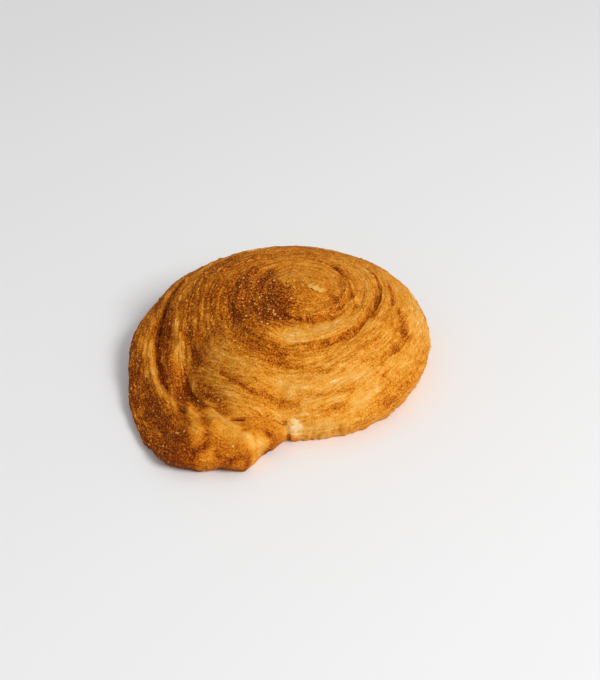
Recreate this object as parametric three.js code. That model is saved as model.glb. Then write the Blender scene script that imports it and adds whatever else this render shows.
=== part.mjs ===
// A croissant bun: one long strip of laminated dough wound like a snail shell and baked on a flat tray.
// The winding axis is +Z, the baked underside lies at z = 0, and the loose end of the strip is at the
// front left. Lengths are in millimetres. Angles are in degrees, counted from +X, anticlockwise from above.
import * as THREE from 'three';

// The wound strip, as it shows from above, with its innermost turns a little off the axis
const WINDING_RADIUS = 50.5;
const GROWTH_PER_TURN = 1.383;
const CENTRE_SLACK = 16;
const NOTCH_ANGLE = -91;
const SWELLS = [
  { share: 0.095, angle: -76 },
  { share: 0.065, angle: 55 },
  { share: 0.007, angle: 195 },
  { share: 0.014, angle: 14 },
];
const DRAWN_IN = [
  { share: 0.185, angle: -398, width: 52 },
  { share: 0.22, angle: -750, width: 72 },
];
const CENTRE_SHIFT = { x: 4.5, y: -2, from: 16, to: 40 };

// The domed body
const HEIGHT = 35.1;
const BODY_RIM = 6.3;
const RIGHT_RIM_RISE = { size: 2.5, angle: 18 };
const DOME_SHARPNESS = 1.58;
const DOME_FULLNESS = 2.3;
const LEFT_SLOPE = { size: 0.57, power: 1.5 };
const BACK_RIGHT_FULLNESS = { size: 0.4, angle: 20 };
const BACK_LEFT_FULLNESS = { size: 1.1, angle: 140 };
const OUTSIDE_FALL = 25;
const KNOB = { x: 4, y: -1, width: 12, rise: 3 };

// The tail: the last part of the strip, which leans away from the body and ends at the front left
const TAIL_PARTS = { from: 145, to: 205 };
const TAIL_SHOWS = { from: 125, full: 162, fade: 254, to: 269 };
const TAIL_RIM = 7;
const TAIL_HIDDEN = 5;
const TAIL_LEAST_WIDTH = 1;
const TAIL_CREST = 17.5;
const CREST_FALL = { size: 4.5, from: 138, to: 175 };
const TAIL_ROUNDING = { power: 3.5, root: 0.55 };
const END_SLOPE = { power: 1.3, root: 0.9, rim: 4, rise: 1, from: 230, to: 252 };
const TAIL_FLARE = { size: 8, from: 188, to: 242 };
const END_CUT = { distance: 65.9, from: 180, rounding: 5 };
const SIDE_CUT = { distance: 32, x: 0.733, y: -0.68, from: 200, rounding: 1.5 };
const GRAZING = 0.05;
const BODY_OVERHANG = { size: 7.5, from: 190, full: 246, fade: 248, to: 266 };
const GAP = { depth: 4, at: 0.08, width: 0.15, from: 196, full: 214, fade: 220, to: 236 };
const JOIN_ROUNDING = { loose: 13, tight: 1.8, from: 188, full: 214, fade: 228, to: 246 };
const TAIL_FLANK = { x: -44.5, y: -38, outX: -0.93, outY: -0.37, top: 13.2, slope: 0.8, rounding: 2.2 };
const LUMPS = [
  { start: [-37.4, -41.6], end: [-35.9, -48.7], width: 2.6, rise: 1.6 },
  { start: [-35, -54.8], end: [-32.6, -57], width: 3.6, rise: 2.4 },
  { start: [-29.6, -47], end: [-27.6, -54], width: 2.8, rise: 1.6 },
  { start: [-25.3, -56.5], end: [-16.5, -59.4], width: 4, rise: 2.6 },
  { start: [-31.5, -64], end: [-26.5, -64.5], width: 3.5, rise: 1.2 },
  { start: [-12.8, -58.5], end: [-9, -56], width: 3, rise: 0.8 },
];

// The flaky layers: a step where one turn of the strip lies over the next, faint where the tail leaves
// the body, and a fold along the strip, which opens into a deep round groove on the tail
const STEP = { height: 1.3, edge: 0.92, from: 2, to: 13 };
const KNOB_STEP = { height: 1.3, from: 9, full: 17, fade: 26, to: 34 };
const STEP_FRONT = { least: 0.3, angle: -40 };
const SEAM = { depth: 0.25, width: 0.09, more: 0.85, angle: -5 };
const SEAM_DEEPENS = { least: 0.5, from: 20, to: 28 };
const FOLD = { depth: 0.2, width: 0.06, at: 0.47 };
const GROOVE = { depth: 3.8, width: 0.07, from: 138, full: 166, fade: 204, to: 224 };
const GROOVE_OUTWARDS = { share: 0.03, from: 125, to: 160 };
const GROOVE_INWARDS = { share: 0.08, from: 188, to: 220 };
const FAINT_LAYERS = { from: 135, full: 170, fade: 262, to: 269 };
const BEFORE_JOIN = { from: 0.7, to: 0.9 };
const AFTER_JOIN = { from: 0.1, to: 0.3 };
const SMOOTH_CENTRE = { from: 4, to: 12 };
const SMOOTH_RIM = { from: 0.86, to: 1 };

// The flank below the rim, and how finely the surface is divided
const UNDERCUT = 3.5;
const TURNS = 5;
const COLUMNS = 132;
const NOTCH_CROWDING = 0.5;
const ROW_SHARES = [0, 0.1, 0.22, 0.36, FOLD.at, 0.58, 0.74, STEP.edge];
const FLANK_ROWS = 4;

// Crust colour
const CRUST_COLOUR = 0xc47a28;
const CRUST_ROUGHNESS = 0.55;

const radians = THREE.MathUtils.degToRad;
const degrees = THREE.MathUtils.radToDeg;
const clamp = THREE.MathUtils.clamp;
const blend = THREE.MathUtils.lerp;

// Goes smoothly from 0 to 1 while the value goes from one bound to the other
function ease(value, { from, to }) {
  const t = clamp((value - from) / (to - from), 0, 1);
  return t * t * (3 - 2 * t);
}

// Rises between two angles, then falls back between two more
function span(angle, { from, full, fade, to }) {
  return ease(angle, { from, to: full }) * (1 - ease(angle, { from: fade, to }));
}

// How squarely an angle faces another: 1 along it, 0 from a right angle on
function facing(angle, other) {
  return Math.max(0, Math.cos(radians(angle - other)));
}

// The larger and the smaller of two values, with a rounded change between them
function softMax(a, b, rounding) {
  const h = clamp(0.5 + (0.5 * (a - b)) / rounding, 0, 1);
  return b + (a - b) * h + rounding * h * (1 - h);
}

function softMin(a, b, rounding) {
  return -softMax(-a, -b, rounding);
}

// The same direction as an angle of the winding, counted within the last turn
function direction(angle) {
  return NOTCH_ANGLE + THREE.MathUtils.euclideanModulo(angle - NOTCH_ANGLE, 360);
}

// Outside of the strip at any angle of the winding, a spiral that swells to four sides and is drawn in twice
function windingRadius(angle) {
  const spiral = (WINDING_RADIUS + CENTRE_SLACK) * GROWTH_PER_TURN ** (angle / 360) - CENTRE_SLACK;
  let size = 1;
  for (const swell of SWELLS) {
    size += swell.share * facing(angle, swell.angle) ** 2;
  }
  for (const waist of DRAWN_IN) {
    size -= waist.share * Math.exp(-(((angle - waist.angle) / waist.width) ** 2));
  }
  return spiral * size;
}

// Edge of the last turn but one, which hangs over the tail that follows it
function seamBeforeTail(angle) {
  return windingRadius(angle) + BODY_OVERHANG.size * span(angle + 360, BODY_OVERHANG);
}

// Edge of the body without the tail
function bodyEdge(angle) {
  const parted = ease(angle, TAIL_PARTS);
  return windingRadius(angle) * (1 - parted) + seamBeforeTail(angle - 360) * parted;
}

// Edge of the tail, cut off square at the front and slantwise towards the notch
function tailEdge(angle) {
  const along = { x: Math.cos(radians(angle)), y: Math.sin(radians(angle)) };
  let edge = windingRadius(angle) + TAIL_FLARE.size * ease(angle, TAIL_FLARE);
  if (angle > END_CUT.from) {
    edge = softMin(edge, END_CUT.distance / Math.max(GRAZING, -along.y), END_CUT.rounding);
  }
  if (angle > SIDE_CUT.from) {
    const towardsSide = SIDE_CUT.x * along.x + SIDE_CUT.y * along.y;
    edge = softMin(edge, SIDE_CUT.distance / Math.max(GRAZING, towardsSide), SIDE_CUT.rounding);
  }
  return edge;
}

// Edge of the whole bun
function outline(angle) {
  return angle < TAIL_PARTS.from ? bodyEdge(angle) : Math.max(bodyEdge(angle), tailEdge(angle));
}

// Outer edge of the strip at any angle of the winding
function stripEdge(angle) {
  return angle < NOTCH_ANGLE ? seamBeforeTail(angle) : outline(angle);
}

// A crease with its deepest line at a given share of the strip's width
function crease(share, at, width) {
  const offset = share - at + 0.5;
  const distance = Math.abs(offset - Math.floor(offset) - 0.5);
  return Math.exp(-distance / width);
}

// Share of the strip's width at which its fold lies; on the tail the fold runs from outside inwards
function foldShare(angle) {
  const outwards = GROOVE_OUTWARDS.share * ease(angle, GROOVE_OUTWARDS);
  return FOLD.at + outwards - GROOVE_INWARDS.share * ease(angle, GROOVE_INWARDS);
}

// How near a point is to the join of the body and the last turn, from 0 to 1
function besideJoin(angle, share) {
  if (angle >= NOTCH_ANGLE) {
    return 1 - ease(share, AFTER_JOIN);
  }
  return angle >= NOTCH_ANGLE - 360 ? ease(share, BEFORE_JOIN) : 0;
}

// Relief of the layers above or below the plain form, at a share of the strip's width
function layerRelief(radius, angle, share) {
  const shown = 1 - besideJoin(angle, share) * span(direction(angle), FAINT_LAYERS);
  const atFront = blend(STEP_FRONT.least, 1, facing(angle, STEP_FRONT.angle));
  const knobStep = KNOB_STEP.height * span(radius, KNOB_STEP);
  const stepHeight = (STEP.height * ease(radius, STEP) + knobStep) * atFront;
  const rise = share < STEP.edge ? share / STEP.edge : 1 - ease(share, { from: STEP.edge, to: 1 });
  const seamDepth = (SEAM.depth + SEAM.more * facing(angle, SEAM.angle))
    * blend(SEAM_DEEPENS.least, 1, ease(radius, SEAM_DEEPENS));
  const seam = seamDepth * crease(share, 0, SEAM.width);
  const onTail = span(angle, GROOVE);
  const fold = FOLD.depth * (1 - onTail) * crease(share, FOLD.at, FOLD.width);
  const fade = ease(radius, SMOOTH_CENTRE) * (1 - ease(radius / outline(direction(angle)), SMOOTH_RIM));
  const groove = GROOVE.depth * onTail * Math.exp(-(((share - foldShare(angle)) / GROOVE.width) ** 2));
  return ((stepHeight * (rise - 0.5) - seam) * shown - fold) * fade - groove;
}

// The dome of the body, falling away outside its edge
function bodyHeight(radius, angle) {
  const share = radius / bodyEdge(angle);
  const rim = BODY_RIM + RIGHT_RIM_RISE.size * facing(angle, RIGHT_RIM_RISE.angle) ** 2;
  if (share >= 1) {
    return rim - OUTSIDE_FALL * (share - 1);
  }
  const left = (0.5 - 0.5 * Math.cos(radians(angle))) ** LEFT_SLOPE.power;
  const backRight = facing(angle, BACK_RIGHT_FULLNESS.angle);
  const backLeft = facing(angle, BACK_LEFT_FULLNESS.angle) ** 2;
  const fullness = DOME_FULLNESS - LEFT_SLOPE.size * left
    + BACK_RIGHT_FULLNESS.size * backRight + BACK_LEFT_FULLNESS.size * backLeft;
  return rim + (HEIGHT - rim) * (1 - share ** fullness) ** (1 / DOME_SHARPNESS);
}

// The tail: a rounded back, lower in the gap beside the body, and at its end a slope down from the body
function tailHeight(radius, angle) {
  const inner = seamBeforeTail(angle - 360);
  const width = Math.max(TAIL_LEAST_WIDTH, outline(angle) - inner);
  const across = clamp((radius - inner) / width, -1, 1);
  const slope = ease(angle, END_SLOPE);
  const power = blend(TAIL_ROUNDING.power, END_SLOPE.power, slope);
  const root = blend(TAIL_ROUNDING.root, END_SLOPE.root, slope);
  const rim = blend(TAIL_RIM, END_SLOPE.rim, slope);
  const crest = TAIL_CREST - CREST_FALL.size * ease(angle, CREST_FALL) + END_SLOPE.rise * slope;
  const gap = GAP.depth * span(angle, GAP) * Math.exp(-(((across - GAP.at) / GAP.width) ** 2));
  const back = rim + (crest - rim) * (1 - Math.abs(across) ** power) ** root - gap;
  return blend(TAIL_HIDDEN, back, span(angle, TAIL_SHOWS));
}

// A round rise of the crust at a distance from its middle
function bump(distance, { width, rise }) {
  return rise * Math.exp(-((distance / width) ** 2));
}

// Distance seen from above to a straight path
function pathDistance(x, y, { start, end }) {
  const way = [end[0] - start[0], end[1] - start[1]];
  const along = ((x - start[0]) * way[0] + (y - start[1]) * way[1]) / (way[0] ** 2 + way[1] ** 2);
  const part = clamp(along, 0, 1);
  return Math.hypot(x - start[0] - part * way[0], y - start[1] - part * way[1]);
}

// Height of the bun's form without its layers
function plainHeight(x, y) {
  const radius = Math.hypot(x, y);
  const angle = direction(degrees(Math.atan2(y, x)));
  const rounding = blend(JOIN_ROUNDING.loose, JOIN_ROUNDING.tight, span(angle, JOIN_ROUNDING));
  let height = softMax(bodyHeight(radius, angle), tailHeight(radius, angle), rounding);
  height += bump(Math.hypot(x - KNOB.x, y - KNOB.y), KNOB);
  for (const lump of LUMPS) {
    height += bump(pathDistance(x, y, lump), lump);
  }
  const out = TAIL_FLANK.outX * (x - TAIL_FLANK.x) + TAIL_FLANK.outY * (y - TAIL_FLANK.y);
  return softMin(height, TAIL_FLANK.top - TAIL_FLANK.slope * out, TAIL_FLANK.rounding);
}

// Angle of the winding at a column, with the columns closer together near the notch
function columnAngle(column) {
  const turn = column / COLUMNS;
  const crowding = (NOTCH_CROWDING * Math.sin(2 * Math.PI * turn)) / (2 * Math.PI);
  return NOTCH_ANGLE + 360 * (turn - crowding + 1 - TURNS);
}

// The place seen from above of a radius and an angle of the winding
function placeOf(radius, angle) {
  const shift = 1 - ease(radius, CENTRE_SHIFT);
  const x = radius * Math.cos(radians(angle)) + CENTRE_SHIFT.x * shift;
  const y = radius * Math.sin(radians(angle)) + CENTRE_SHIFT.y * shift;
  return [x, y];
}

// A share of the strip's width, moved so that the row of the fold stays on it
function followFold(share, angle) {
  const fold = foldShare(angle);
  return share < FOLD.at ? (share * fold) / FOLD.at : 1 - ((1 - share) * (1 - fold)) / (1 - FOLD.at);
}

// A point of the crust at a column of the winding and a share of the strip's width
function crustPoint(column, evenShare) {
  const angle = columnAngle(column);
  const share = followFold(evenShare, angle);
  const radius = blend(stripEdge(angle - 360), stripEdge(angle), share);
  const [x, y] = placeOf(radius, angle);
  return [x, y, plainHeight(x, y) + layerRelief(radius, angle, share)];
}

// The closed skin. The strip is laid column by column from its second turn to the end of the tail, its
// outer edge being the inner edge of the turn that follows; the first turn is a small fan in the middle.
function bunGeometry() {
  const rows = ROW_SHARES.length;
  const lastColumn = TURNS * COLUMNS;
  const rimColumn = lastColumn - COLUMNS;
  const positions = [];
  for (let column = COLUMNS; column < lastColumn; column += 1) {
    positions.push(...ROW_SHARES.map((share) => crustPoint(column, share)));
  }
  const tailTip = positions.push(crustPoint(lastColumn, 0)) - 1;
  const [topX, topY] = placeOf(0, NOTCH_ANGLE);
  const top = positions.push([topX, topY, plainHeight(topX, topY)]) - 1;
  const underside = positions.push([0, 0, 0]) - 1;

  // The rim and the flank below it, from the notch all round to the end of the tail
  const flank = positions.length;
  for (let column = rimColumn; column < lastColumn; column += 1) {
    const angle = columnAngle(column);
    const rim = stripEdge(angle);
    const rimHeight = plainHeight(...placeOf(rim, angle));
    const undercut = UNDERCUT * Math.min(1, rimHeight / TAIL_RIM);
    for (let row = 0; row <= FLANK_ROWS; row += 1) {
      const down = row / FLANK_ROWS;
      positions.push([...placeOf(rim - undercut * down ** 2, angle), rimHeight * (1 - down)]);
    }
  }
  const flankCorner = (column, row) => {
    const round = (column - rimColumn) % COLUMNS;
    return flank + round * (FLANK_ROWS + 1) + row;
  };

  // Corner of the strip's grid; the row past the last is the first row one turn on, or the rim
  const corner = (column, row) => {
    if (row === rows) {
      return column < rimColumn ? corner(column + COLUMNS, 0) : flankCorner(column, 0);
    }
    return column === lastColumn ? tailTip : (column - COLUMNS) * rows + row;
  };

  const faces = [];
  const quad = (a, b, c, d) => faces.push([a, b, c], [a, c, d]);
  for (let column = COLUMNS; column < lastColumn; column += 1) {
    for (let row = 0; row < rows; row += 1) {
      quad(corner(column, row), corner(column, row + 1),
        corner(column + 1, row + 1), corner(column + 1, row));
    }
  }
  for (let column = 0; column < COLUMNS - 1; column += 1) {
    faces.push([top, corner(column, rows), corner(column + 1, rows)]);
  }
  const fanEnd = corner(COLUMNS - 1, rows);
  faces.push([top, fanEnd, corner(COLUMNS, 0)]);
  for (let row = 0; row < rows; row += 1) {
    faces.push([fanEnd, corner(COLUMNS, row + 1), corner(COLUMNS, row)]);
  }
  for (let column = rimColumn; column < lastColumn; column += 1) {
    for (let row = 0; row < FLANK_ROWS; row += 1) {
      quad(flankCorner(column, row), flankCorner(column, row + 1),
        flankCorner(column + 1, row + 1), flankCorner(column + 1, row));
    }
    faces.push([underside, flankCorner(column + 1, FLANK_ROWS), flankCorner(column, FLANK_ROWS)]);
  }
  const geometry = new THREE.BufferGeometry();
  geometry.setAttribute('position', new THREE.Float32BufferAttribute(positions.flat(), 3));
  geometry.setIndex(faces.flat());
  geometry.computeVertexNormals();
  return geometry;
}

const crust = new THREE.MeshStandardMaterial({
  color: CRUST_COLOUR,
  roughness: CRUST_ROUGHNESS,
  metalness: 0,
});
const bun = new THREE.Mesh(bunGeometry(), crust);
bun.name = 'bun';

const part = new THREE.Group();
part.name = 'croissant_bun';
part.add(bun);

export default part;
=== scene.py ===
import math

import bpy
import numpy as np
from mathutils.kdtree import KDTree
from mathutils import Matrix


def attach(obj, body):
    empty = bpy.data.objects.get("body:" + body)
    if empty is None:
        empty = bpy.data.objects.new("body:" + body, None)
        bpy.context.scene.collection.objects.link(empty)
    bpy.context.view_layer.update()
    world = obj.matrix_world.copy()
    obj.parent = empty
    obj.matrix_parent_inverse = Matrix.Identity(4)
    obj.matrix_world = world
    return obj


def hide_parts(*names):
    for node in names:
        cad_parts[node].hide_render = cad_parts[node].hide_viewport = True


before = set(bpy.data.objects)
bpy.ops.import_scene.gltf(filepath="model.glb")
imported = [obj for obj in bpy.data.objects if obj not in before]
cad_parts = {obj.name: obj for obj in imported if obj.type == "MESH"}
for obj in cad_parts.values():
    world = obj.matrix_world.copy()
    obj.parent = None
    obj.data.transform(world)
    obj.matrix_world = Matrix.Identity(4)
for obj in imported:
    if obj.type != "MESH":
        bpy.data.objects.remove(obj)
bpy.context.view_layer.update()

# THE BUN
# One long strip of croissant dough, rolled thin with butter between its layers, wound like a snail shell and
# baked on a flat tray. The turns bake into one piece, so nothing fixes it but its own crust.

MM = 0.001

# The wound strip, in millimetres, with angles in degrees from +X, anticlockwise seen from above. It swells to
# four sides, each a share and a direction, and is drawn in at two places, each a share, an angle and a width.
WINDING_RADIUS = 50.5
GROWTH_PER_TURN = 1.383
CENTRE_SLACK = 16.0
NOTCH_ANGLE = -91.0
TURNS = 5
SWELLS = ((0.095, -76.0), (0.065, 55.0), (0.007, 195.0), (0.014, 14.0))
DRAWN_IN = ((0.185, -398.0, 52.0), (0.22, -750.0, 72.0))
CENTRE_SHIFT = (4.5, -2.0)
SHIFT_FADES = (16.0, 40.0)

# The domed body: its height, rim and fullness, each fullness with the direction where it is largest
HEIGHT = 35.1
BODY_RIM = 6.3
RIGHT_RIM_RISE = (2.5, 18.0)
DOME_SHARPNESS = 1.58
DOME_FULLNESS = 2.3
LEFT_SLOPE = (0.57, 1.5)
BACK_RIGHT_FULLNESS = (0.4, 20.0)
BACK_LEFT_FULLNESS = (1.1, 140.0)
OUTSIDE_FALL = 25.0
KNOB_RISE = 3.0
KNOB_PLACE = (4.0, -1.0)
KNOB_WIDTH = 12.0

# The tail: pairs of angles say where it parts from the body, shows, rises, falls and ends
TAIL_PARTS = (145.0, 205.0)
TAIL_SHOWS = (125.0, 162.0)
TAIL_ENDS = (254.0, 269.0)
TAIL_RIM = 7.0
TAIL_HIDDEN = 5.0
TAIL_LEAST_WIDTH = 1.0
TAIL_CREST = 17.5
CREST_FALL = 4.5
CREST_FALLS = (138.0, 175.0)
CREST_END_RISE = 1.0
TAIL_ROUNDING = (3.5, 0.55)
END_SLOPES = (230.0, 252.0)
END_SLOPE_ROUNDING = (1.3, 0.9)
END_SLOPE_RIM = 4.0
TAIL_FLARE = 8.0
TAIL_FLARES = (188.0, 242.0)
END_CUT = 65.9
END_CUT_FROM = 180.0
END_ROUNDING = 5.0
SIDE_CUT = 32.0
SIDE_CUT_FROM = 200.0
SIDE_FACING = (0.733, -0.68)
SIDE_ROUNDING = 1.5
GRAZING = 0.05
FAR_AWAY = 1000.0
BODY_OVERHANG = 7.5
OVERHANG_RISES = (190.0, 246.0)
OVERHANG_FALLS = (248.0, 266.0)
GAP_DEPTH = 4.0
GAP_AT = 0.08
GAP_WIDTH = 0.15
GAP_OPENS = (196.0, 214.0)
GAP_CLOSES = (220.0, 236.0)
LOOSE_JOIN = 13.0
TIGHT_JOIN = 1.8
JOIN_TIGHTENS = (188.0, 214.0)
JOIN_LOOSENS = (228.0, 246.0)
UNDERCUT = 3.5

# The tail's outer flank slopes down from a straight crest: a point of the crest, the way down, top and slope
FLANK_PLACE = (-44.5, -38.0)
FLANK_FACING = (-0.93, -0.37)
FLANK_TOP = 13.2
FLANK_SLOPE = 0.8
FLANK_ROUNDING = 2.2

# Lumps of dough on the tail: where each starts and ends, its half width and its rise
LUMPS = (
    (-37.4, -41.6, -35.9, -48.7, 2.6, 1.6),
    (-35.0, -54.8, -32.6, -57.0, 3.6, 2.4),
    (-29.6, -47.0, -27.6, -54.0, 2.8, 1.6),
    (-25.3, -56.5, -16.5, -59.4, 4.0, 2.6),
    (-31.5, -64.0, -26.5, -64.5, 3.5, 1.2),
    (-12.8, -58.5, -9.0, -56.0, 3.0, 0.8),
)


def ease(value, start, end):
    """Goes smoothly from 0 to 1 while the value goes from start to end."""
    t = np.clip((value - start) / (end - start), 0.0, 1.0)
    return t * t * (3.0 - 2.0 * t)


def between(value, rises, falls):
    """Goes from 0 to 1 over the first pair of values and back to 0 over the second."""
    return ease(value, *rises) * (1.0 - ease(value, *falls))


def facing(angle, other):
    """1 along the other direction, 0 from a right angle on."""
    return np.maximum(0.0, np.cos(np.radians(angle - other)))


def soft_max(a, b, rounding):
    """The larger of two values, with a rounded change from one to the other."""
    h = np.clip(0.5 + 0.5 * (a - b) / rounding, 0.0, 1.0)
    return b + (a - b) * h + rounding * h * (1.0 - h)


def soft_min(a, b, rounding):
    """The smaller of two values, with a rounded change from one to the other."""
    return -soft_max(-a, -b, rounding)


def past_line(x, y, place, way):
    """How far each point lies past a straight line through a place, seen from above."""
    return way[0] * (x - place[0]) + way[1] * (y - place[1])


def near_path(x, y, start_x, start_y, end_x, end_y, half_width):
    """1 on a straight path seen from above, falling to 0 away from it."""
    way_x, way_y = end_x - start_x, end_y - start_y
    part = np.clip(((x - start_x) * way_x + (y - start_y) * way_y) / (way_x ** 2 + way_y ** 2), 0.0, 1.0)
    return np.exp(-((x - start_x - part * way_x) ** 2 + (y - start_y - part * way_y) ** 2) / half_width ** 2)


def winding_radius(angle):
    """Outside of the strip, a spiral that swells to four sides and is drawn in at two places."""
    spiral = (WINDING_RADIUS + CENTRE_SLACK) * GROWTH_PER_TURN ** (angle / 360.0) - CENTRE_SLACK
    swollen = sum(share * facing(angle, side) ** 2 for share, side in SWELLS)
    drawn_in = sum(share * np.exp(-((angle - at) / width) ** 2) for share, at, width in DRAWN_IN)
    return spiral * (1.0 + swollen - drawn_in)


def seam_before_tail(angle):
    """Edge of the last turn but one, which hangs over the tail."""
    return winding_radius(angle) + BODY_OVERHANG * between(angle + 360.0, OVERHANG_RISES, OVERHANG_FALLS)


def body_edge(angle):
    """Edge of the body, which goes over to the last turn but one where the tail parts from it."""
    parted = ease(angle, *TAIL_PARTS)
    return winding_radius(angle) * (1.0 - parted) + seam_before_tail(angle - 360.0) * parted


def tail_edge(angle):
    """Edge of the tail, cut off square at the front and slantwise towards the notch."""
    edge = winding_radius(angle) + TAIL_FLARE * ease(angle, *TAIL_FLARES)
    across, towards = np.cos(np.radians(angle)), np.sin(np.radians(angle))
    beside = SIDE_FACING[0] * across + SIDE_FACING[1] * towards
    end = np.where(angle > END_CUT_FROM, END_CUT / np.maximum(GRAZING, -towards), FAR_AWAY)
    side = np.where(angle > SIDE_CUT_FROM, SIDE_CUT / np.maximum(GRAZING, beside), FAR_AWAY)
    return soft_min(soft_min(edge, end, END_ROUNDING), side, SIDE_ROUNDING)


def outline(angle):
    """Edge of the whole bun seen from above."""
    return np.where(angle < TAIL_PARTS[0], body_edge(angle), np.maximum(body_edge(angle), tail_edge(angle)))


def dome(radius, angle):
    """Height of the body, falling away outside its edge."""
    share = radius / body_edge(angle)
    left = (0.5 - 0.5 * np.cos(np.radians(angle))) ** LEFT_SLOPE[1]
    fullness = DOME_FULLNESS - LEFT_SLOPE[0] * left
    fullness = fullness + BACK_RIGHT_FULLNESS[0] * facing(angle, BACK_RIGHT_FULLNESS[1])
    fullness = fullness + BACK_LEFT_FULLNESS[0] * facing(angle, BACK_LEFT_FULLNESS[1]) ** 2
    rim = BODY_RIM + RIGHT_RIM_RISE[0] * facing(angle, RIGHT_RIM_RISE[1]) ** 2
    inside = np.clip(1.0 - np.clip(share, 0.0, 1.0) ** fullness, 0.0, 1.0) ** (1.0 / DOME_SHARPNESS)
    return np.where(share < 1.0, rim + (HEIGHT - rim) * inside, rim - OUTSIDE_FALL * (share - 1.0))


def tail_back(radius, angle):
    """Height of the tail: a rounded back, lower in the gap beside the body, and at its end a slope."""
    inner = seam_before_tail(angle - 360.0)
    across = np.clip((radius - inner) / np.maximum(TAIL_LEAST_WIDTH, outline(angle) - inner), -1.0, 1.0)
    slope = ease(angle, *END_SLOPES)
    power = TAIL_ROUNDING[0] + (END_SLOPE_ROUNDING[0] - TAIL_ROUNDING[0]) * slope
    root = TAIL_ROUNDING[1] + (END_SLOPE_ROUNDING[1] - TAIL_ROUNDING[1]) * slope
    rim = TAIL_RIM + (END_SLOPE_RIM - TAIL_RIM) * slope
    crest = TAIL_CREST - CREST_FALL * ease(angle, *CREST_FALLS) + CREST_END_RISE * slope
    gap = GAP_DEPTH * between(angle, GAP_OPENS, GAP_CLOSES) * np.exp(-((across - GAP_AT) / GAP_WIDTH) ** 2)
    back = rim + (crest - rim) * (1.0 - np.abs(across) ** power) ** root - gap
    return TAIL_HIDDEN + (back - TAIL_HIDDEN) * between(angle, TAIL_SHOWS, TAIL_ENDS)


def plain_height(radius, angle):
    """The bun's form without its layers."""
    rounding = LOOSE_JOIN + (TIGHT_JOIN - LOOSE_JOIN) * between(angle, JOIN_TIGHTENS, JOIN_LOOSENS)
    height = soft_max(dome(radius, angle), tail_back(radius, angle), rounding)
    x, y = radius * np.cos(np.radians(angle)), radius * np.sin(np.radians(angle))
    for *path, rise in LUMPS:
        height = height + rise * near_path(x, y, *path)
    away = np.hypot(x - KNOB_PLACE[0], y - KNOB_PLACE[1])
    height = height + KNOB_RISE * np.exp(-(away / KNOB_WIDTH) ** 2)
    flank = FLANK_TOP - FLANK_SLOPE * past_line(x, y, FLANK_PLACE, FLANK_FACING)
    return soft_min(height, flank, FLANK_ROUNDING)


# The crust is a net of columns round the axis and rings from the top to the rim, then rows down the flank.
# Each ring is the outline drawn smaller, and blurred more the nearer it is to the middle.
COLUMNS = 460
RINGS = 190
FLANK_ROWS = 14
NOTCH_CROWDING = 0.35
RING_CROWDING = 0.85
MOST_BLUR = math.radians(75.0)
ROUND_STEPS = 1440
column_turn = np.arange(COLUMNS) / COLUMNS
crowding = NOTCH_CROWDING * np.sin(2.0 * np.pi * column_turn) / (2.0 * np.pi)
direction = NOTCH_ANGLE + 360.0 * (column_turn - crowding)
rim_radius = outline(direction)
even_angle = NOTCH_ANGLE + 360.0 * np.arange(ROUND_STEPS) / ROUND_STEPS
waves = np.fft.rfft(outline(even_angle))
radius = np.zeros((COLUMNS, RINGS))
for ring in range(RINGS):
    part = ((ring + 1) / RINGS) ** RING_CROWDING
    kept = np.exp(-0.5 * (np.arange(len(waves)) * MOST_BLUR * (1.0 - part)) ** 2)
    blurred = np.fft.irfft(waves * kept, ROUND_STEPS)
    radius[:, ring] = part * np.interp(direction, even_angle, blurred, period=360.0)
radius[:, -1] = rim_radius
angle = np.repeat(direction[:, None], RINGS, axis=1)

# Which turn of the strip each point lies on, 0 for the last, and its share of the strip's width
ON_THE_EDGE = 1e-9
LEAST_STRIP = 1e-6
turn = np.zeros_like(radius)
share = np.zeros_like(radius)
strip_width = np.zeros_like(radius)
outer = outline(angle)
for number in range(TURNS + 1):
    inner = seam_before_tail(angle - 360.0 * (number + 1)) if number < TURNS else np.zeros_like(radius)
    width = np.maximum(outer - inner, LEAST_STRIP)
    here = (radius <= outer + ON_THE_EDGE) & (radius > inner)
    turn[here] = number
    strip_width[here] = width[here]
    share[here] = ((radius - inner) / width)[here]
    outer = inner

# The innermost turns lie a little off the axis
shift = 1.0 - ease(radius, *SHIFT_FADES)
x = radius * np.cos(np.radians(angle)) + CENTRE_SHIFT[0] * shift
y = radius * np.sin(np.radians(angle)) + CENTRE_SHIFT[1] * shift
seen_angle = NOTCH_ANGLE + (np.degrees(np.arctan2(y, x)) - NOTCH_ANGLE) % 360.0
height = plain_height(np.hypot(x, y), np.where(shift > 0.0, seen_angle, angle))

# The flank, from the rim down to the underside, where the share goes on past 1
FLANK_SHARE = 0.4
FLANK_STARTS = (0.97, 1.05)


def with_flank(net, flank):
    """Adds the rows of the flank to the rings of the crust."""
    return np.concatenate([net, flank], axis=1)


down = (np.arange(1, FLANK_ROWS + 1) / FLANK_ROWS)[None, :]
undercut = UNDERCUT * np.minimum(1.0, height[:, -1:] / TAIL_RIM)
flank_radius = rim_radius[:, None] - undercut * down ** 2
radius = with_flank(radius, flank_radius)
x = with_flank(x, flank_radius * np.cos(np.radians(direction))[:, None])
y = with_flank(y, flank_radius * np.sin(np.radians(direction))[:, None])
height = with_flank(height, height[:, -1:] * (1.0 - down))
angle = np.repeat(direction[:, None], RINGS + FLANK_ROWS, axis=1)
turn = with_flank(turn, np.zeros((COLUMNS, FLANK_ROWS)))
share = with_flank(share, np.repeat(1.0 + FLANK_SHARE * down, COLUMNS, axis=0))
strip_width = with_flank(strip_width, np.repeat(strip_width[:, -1:], FLANK_ROWS, axis=1))
last_turn, turn_before = (turn == 0), (turn == 1)
on_flank = ease(share, *FLANK_STARTS) * last_turn

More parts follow.
